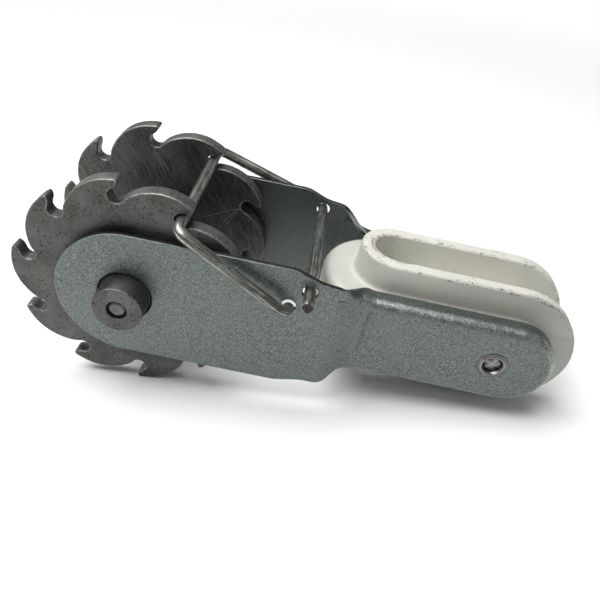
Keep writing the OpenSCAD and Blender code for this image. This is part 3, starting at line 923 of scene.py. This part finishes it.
def pin_end(work):
    """The wire's points in the last CROP_LENGTH of the pin."""
    return [v for v in work.verts if v.co.y < (PIN_END_Y + CROP_LENGTH) * MM
            and abs(v.co.x - PIVOT_X * MM) < 2 * WIRE_R * MM]


def crop_pin(work):
    """Crops the pin to a blunt wedge with two slanting cuts, which are dark, with a painted highlight on the
    upper edge.
    """
    slopes = [Vector((math.sin(turn), -math.cos(turn), 0)) for turn in (-CROP_TURN, CROP_TURN)]
    place = Vector((PIVOT_X, PIN_END_Y + 0.05, PIVOT_Z)) * MM
    for slope in slopes:
        pin = pin_end(work)
        edges = {e for v in pin for e in v.link_edges}
        faces = {f for v in pin for f in v.link_faces}
        cut = bmesh.ops.bisect_plane(work, geom=pin + list(edges) + list(faces), dist=1e-8,
                                     plane_co=place, plane_no=slope, clear_outer=True)
        rim = [e for e in cut["geom_cut"] if isinstance(e, bmesh.types.BMEdge)]
        bmesh.ops.holes_fill(work, edges=rim, sides=0)
    bmesh.ops.recalc_face_normals(work, faces=work.faces)
    sharp = [e for e in work.edges if len(e.link_faces) == 2 and e.calc_face_angle() > math.radians(35)]
    bmesh.ops.bevel(work, geom=sharp, offset=CROP_EDGE * MM, segments=3, profile=0.5, affect="EDGES",
                    clamp_overlap=True)
    work.normal_update()
    edge, grime_and_shade = (work.verts.layers.float[value] for value in ("edge", "grime_and_shade"))
    for vert in pin_end(work):
        x, y, z = vert.co / MM - Vector((PIVOT_X, PIN_END_Y, PIVOT_Z))
        on_cut = any(f.normal.dot(slope) > 0.999 for f in vert.link_faces for slope in slopes)
        on_crest = abs(x) < 0.25 * WIRE_R and y < 0.6
        cropped = on_cut or on_crest or math.hypot(x, z) < 0.8 * WIRE_R
        if y < CROP_LENGTH / 2:
            vert[grime_and_shade] = 1.0 if cropped else 0.0
            # a painted highlight along the upper side of the pin's end, beside the cuts
            vert[edge] = 0.9 if z > 0 and not cropped else 0.0


def pawl(name, body):
    """One bent wire: short hooked end, bar across both wheels, and the pin through both plates."""
    corners = [Vector(p) for p in (
        (OPEN_HOLE[0], HOOK_END_Y, OPEN_HOLE[1]), (OPEN_HOLE[0], HOOK_TURN_Y, OPEN_HOLE[1]),
        (BAR_X, -LEG_Y, BAR_Z), (BAR_X, LEG_Y, BAR_Z),
        (PIVOT_X, LEG_Y, PIVOT_Z), (PIVOT_X, PIN_END_Y, PIVOT_Z))]
    work = swept_wire(bent_path(corners, (3.2, 3.0, 3.0, 3.0)))
    crop_pin(work)
    mesh = bpy.data.meshes.new(name)
    work.to_mesh(mesh)
    work.free()
    return placed(name, mesh, WIRE, body)


# ---------------- rivets
def drum_rivet(name, body):
    """Pin through both halves of the drum, headed over in each boss recess."""
    shank_r, head_r = DRUM_RIVET_R - 0.05, RECESS_R - 0.35
    seat = BOSS_Y - RECESS_D
    head = [(shank_r, 0.0), (shank_r, seat), (head_r, seat + 0.02), (head_r, seat + 0.2)]
    head += [(r, seat + 0.2 + math.sqrt(1 - (r / head_r) ** 2)) for r in (2.47, 2.3, 2.0, 1.6, 1.1, 0.5)]
    worn = [0.0] * 5 + [0.15, 0.3, 0.45, 0.5, 0.5]
    # painted shade at the foot of each head, down in the boss's recess
    dirt_and_shade = [0.7] * 4 + [0.4, 0.1] + [0.0] * 4
    shell = Shell()
    for sign in (-1, 1):
        lathe(shell, head, sign, 64, worn, dirt_and_shade, True)
    return shell.piece(name, CAST, body)


def insulator_rivet(name, body):
    """Hollow rivet: rolled lip round a faceted plug on the near side, low truss head on the far side."""
    shell = Shell()
    base = -ARM_Y + DIMPLE_D
    bottom = base + PLUG_DEPTH
    shank = [(2.9, 0.0), (2.9, base + 0.1), (4.2, base + 0.1), (4.38, base - 0.1)]
    lip = [(4.22, base - 0.24), (4.02, base - 0.28), (3.86, base - 0.22),
           (3.72, base - 0.26), (3.5, base - 0.42), (3.26, base - 0.52),
           (3.08, base - 0.5), (2.97, base - 0.38), (2.85, base - 0.16)]
    throat = [(2.73, base + 0.06), (2.6, base + 0.3), (2.5, base + 1.3), (2.3, bottom)]
    # painted shade: black on the shank, under the lip and down the throat; the lip is darkened in bands
    dirt_and_shade = [1.0] * 4 + [0.4, 0.2, 0.6, 0.4, 0.1, 0.0, 0.0, 0.0, 0.0] + [0.0, 0.5, 1.0, 1.0]
    lathe(shell, shank + lip + throat, 1, 64, grime_and_shade=dirt_and_shade)

    # the plug's end is as deep at each point as the deepest of four sloping planes
    tip = Vector((0.1, base - 0.1, 0.7))
    ways = [Vector((math.cos(t), 0, math.sin(t))) for t in (math.radians(45 + 90 * k) for k in range(4))]
    ring = []
    for x, z in circle(0.0, 0.0, PLUG_R, PLUG_SIDES):
        fall = max(way.dot((x - tip.x, 0, z - tip.z)) for way in ways)
        ring.append((x, tip.y + PLUG_SLOPE * fall, z))
    foot = [(x, bottom, z) for x, y, z in ring]
    fan = [(0, k + 1, (k + 1) % PLUG_SIDES + 1) for k in range(PLUG_SIDES)]
    # the plug's sides and foot are black, a painted shadow in the seam round it
    shell.strips([foot, ring], grime_and_shade=1.0)
    shell.add([(0, bottom, 0)] + foot, fan, grime_and_shade=1.0)
    for k in range(PLUG_SIDES):
        shell.add([tip, ring[k], ring[(k + 1) % PLUG_SIDES]], [(0, 1, 2)], edge=0.1)

    head = [(2.9, 0.0), (2.9, ARM_Y), (4.7, ARM_Y), (4.95, ARM_Y + 0.12)]
    head += [(r, ARM_Y - 6.6 + math.sqrt(8.2 ** 2 - r ** 2)) for r in (4.8, 4.2, 3.4, 2.4, 1.2, 0.2)]
    lathe(shell, head, 1, 64, closed=True)
    shell.points = [(p[0] + RIVET_X, p[1], p[2]) for p in shell.points]
    made = shell.piece(name, RIVET, body)
    for face in made.data.polygons:
        x, y, z = face.center / MM
        face.use_smooth = y > 0 or math.hypot(x - RIVET_X, z) > PLUG_R
    return made


# ---------------- insulator
def round_and(a, b, r):
    """Intersection of two distances with an edge of radius r."""
    return np.minimum(np.maximum(a + r, b + r), 0) + np.hypot(np.maximum(a + r, 0), np.maximum(b + r, 0)) - r


def round_or(a, b, r):
    """Union of two distances with a fillet of radius r."""
    return -round_and(-a, -b, r)


def moulding_distance(p):
    """Signed distance, in millimetres, of the insulator's surface."""
    x, y, z = p
    height, width = np.abs(z), np.abs(y)
    past = np.maximum(x - END_X, 0.0)
    side_round = np.hypot(past, z)
    draft = 0.05 * (WALL_H - height)
    wall_profile = side_round - WALL_H
    nose = np.hypot(np.minimum(x - NOSE_X, 0.0), y)
    walls = round_and(wall_profile, nose - WALL_OUT - draft, RIM_EDGE_R)
    skirt = np.hypot(np.minimum(x - SKIRT_X, 0.0), y * (x < SKIRT_X)) - SKIRT_R
    block = round_and(round_and(side_round - BLOCK_H, skirt, SKIRT_EDGE_R), width - BLOCK_Y, BLOCK_EDGE_R)
    body = round_or(walls, block, WALL_ROOT_R)
    core_x = np.where(x < CORE_LEFT, x - CORE_LEFT, past)
    core = np.hypot(core_x, z) - CORE_H
    groove = GROOVE_IN - 0.5 * draft - nose
    opened = round_or(groove, core, CORE_ROOT_R)
    bore = RIVET_HOLE_R - np.hypot(x - RIVET_X, z)
    return np.maximum(round_and(body, opened, RIM_EDGE_R), bore)


def surface_net(distance, low, high, step):
    """Quads on the zero surface of a distance, with points moved on to it."""
    axes = [np.arange(low[k] - 2 * step, high[k] + 3 * step, step) for k in range(3)]
    values = distance(np.meshgrid(*axes, indexing="ij"))
    below = values < 0
    total = below.astype(int)
    for k in range(3):
        total = total.take(range(total.shape[k] - 1), k) + total.take(range(1, total.shape[k]), k)
    crossed = (total > 0) & (total < 8)
    ids = -np.ones(crossed.shape, int)
    ids[crossed] = np.arange(crossed.sum())
    cell = np.argwhere(crossed)
    points = np.stack([axes[k][cell[:, k]] + step / 2 for k in range(3)], 1)
    unit = np.eye(3, dtype=int)
    faces = []
    for k, a, b in ((0, 1, 2), (1, 2, 0), (2, 0, 1)):
        for here in np.argwhere(np.diff(below, axis=k)):
            if here[a] and here[b]:
                quad = [ids[tuple(here + da * unit[a] + db * unit[b])]
                        for da, db in ((-1, -1), (0, -1), (0, 0), (-1, 0))]
                faces.append(quad if below[tuple(here)] else quad[::-1])
    small = 0.02
    for _ in range(6):
        value = distance(points.T)
        slope = np.stack([distance((points + nudge).T) - distance((points - nudge).T)
                          for nudge in small * np.eye(3)], 1) / (2 * small)
        size = np.maximum((slope ** 2).sum(1), 0.05)
        points = points - slope * np.clip(value / size, -step, step)[:, None]
    return points, np.array(faces)


def insulator(name, body):
    """Moulded insulator: round skirt, two upright walls and the groove round the core."""
    step = 0.5
    points, faces = surface_net(moulding_distance, moulding_low, moulding_high, step)
    x, y, z = points.T
    from_top = WALL_H - np.hypot(np.maximum(x - END_X, 0), z)
    nose = np.hypot(np.minimum(x - NOSE_X, 0.0), y)
    rim_edge = np.minimum(np.hypot(from_top, nose - WALL_OUT), np.hypot(from_top, nose - GROOVE_IN))
    scuffed = 0.2 * smooth_step((2.0 - from_top) / 1.2) + 0.8 * smooth_step((1.25 - rim_edge) / 0.9)
    cracked = smooth_step((0.7 - np.abs(nose - GROOVE_IN - 1.1)) / 0.6) * (from_top < 0.5)
    cracked *= (x < NOSE_X + 2) * (y < 4)
    outside = smooth_step((nose - WALL_OUT + 0.8) / 0.6)
    on_skirt = outside * smooth_step((z - 8.0) / 1.8) * smooth_step((BLOCK_H + 5.5 - z) / 5)
    # greyed for dirt and as painted shade: on the skirt's top and on the walls' outside, most towards the
    # right-hand end
    film_and_shade = RIM_FILM_AND_SHADE + outside * (along(x, WALL_FILM_AND_SHADE) - RIM_FILM_AND_SHADE)
    film_and_shade += on_skirt * (SKIRT_FILM_AND_SHADE - film_and_shade)
    film_and_shade *= smooth_step((nose - GROOVE_IN + 0.1) / 0.6)
    shell = Shell()
    shell.add(points, faces, scuffed, cracked, film_and_shade)
    return shell.piece(name, PLASTIC, body)


# ---------------- floor and light
def rest_line():
    """Angle and offset of the floor on which the wheels' teeth and the insulator's end rest."""
    tips = np.array([v.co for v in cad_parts["near_ratchet_wheel"].data.vertices]) / MM
    best = None
    for px, pz in tips[tips[:, 2] < -0.9 * BODY_H][:, [0, 2]]:
        dx, dz = END_X - px, -pz
        angle = math.atan2(dz, dx) - math.asin(WALL_H / math.hypot(dx, dz))
        offset = -px * math.sin(angle) + pz * math.cos(angle)
        if best is None or offset < best[1]:
            best = (angle, offset)
    return best


def floor_and_light():
    angle, offset = rest_line()
    normal = Vector((-math.sin(angle), 0, math.cos(angle)))
    mesh = bpy.data.meshes.new("floor")
    corners = [(FLOOR_HALF * x, FLOOR_HALF * y, 0) for x, y in ((-1, -1), (1, -1), (1, 1), (-1, 1))]
    mesh.from_pydata(corners, [], [(0, 1, 2, 3)])
    mesh.materials.append(PAPER)
    floor = linked("floor", mesh)
    place = Matrix.Translation(normal * (offset * MM - FLOOR_GAP))
    floor.matrix_world = place @ Matrix.Rotation(-angle, 4, "Y")

    middle = (cad_low + cad_high) / 2
    for name, place, size, power in LIGHTS:
        light = bpy.data.lights.new(name, "AREA")
        light.shape = "DISK"
        light.size = size
        light.energy = power
        lamp = linked(name, light)
        lamp.location = middle + Vector(place)
        lamp.rotation_mode = "QUATERNION"
        lamp.rotation_quaternion = (-Vector(place)).to_track_quat("-Z", "Y")


def studio():
    """Dim surroundings that are brighter overhead, with a pale backdrop behind the floor's edge."""
    world = bpy.data.worlds.new("studio")
    bpy.context.scene.world = world
    world.use_nodes = True
    tree = world.node_tree
    tree.nodes.clear()
    up = node(tree, "ShaderNodeSeparateXYZ", {0: node(tree, "ShaderNodeTexCoord").outputs["Generated"]})
    sky = ramp(tree, up.outputs[2], (0.0, 0.40), (0.2, 0.32), (0.5, 0.12), (0.9, 0.32))
    light = node(tree, "ShaderNodeBackground", {0: sky, 1: 1.0})
    backdrop = node(tree, "ShaderNodeBackground", {0: BACKDROP, 1: 1.0})
    seen = node(tree, "ShaderNodeLightPath").outputs["Is Camera Ray"]
    share = node(tree, "ShaderNodeMixShader", {0: seen, 1: light.outputs[0], 2: backdrop.outputs[0]})
    node(tree, "ShaderNodeOutputWorld", {"Surface": share.outputs[0]})


def camera():
    """Looks down at the near side, rolled a little."""
    a, e = math.radians(CAMERA_AZIMUTH), math.radians(CAMERA_ELEVATION)
    back = Vector((-math.sin(a) * math.cos(e), -math.cos(a) * math.cos(e), math.sin(e)))
    level = Vector((math.cos(a), -math.sin(a), 0))
    up = back.cross(level)
    roll = math.radians(CAMERA_ROLL)
    right = level * math.cos(roll) + up * math.sin(roll)
    turned_up = back.cross(right)
    data = bpy.data.cameras.new("camera")
    data.lens = LENS_MM
    data.shift_x, data.shift_y = CAMERA_SHIFT_X, CAMERA_SHIFT_Y
    data.clip_start = 0.01
    cam = linked("camera", data)
    cam.matrix_world = Matrix.Translation(CAMERA_AIM + back * CAMERA_DISTANCE) @ Matrix(
        (right, turned_up, back)).transposed().to_4x4()
    bpy.context.scene.camera = cam


camera()
studio()
floor_and_light()
side_plate("near_side_plate", True, "frame")
side_plate("far_side_plate", False, "frame")
near_wheel = ratchet_wheel("near_ratchet_wheel", -1, "spool")
ratchet_wheel("far_ratchet_wheel", 1, "spool")
drill_wire_hole(near_wheel)
drum_rivet("drum_rivet", "spool")
pawl("pawl_wire", "pawl")
insulator("insulator", "frame")
insulator_rivet("insulator_rivet", "frame")
bpy.context.scene.view_settings.view_transform = "Standard"
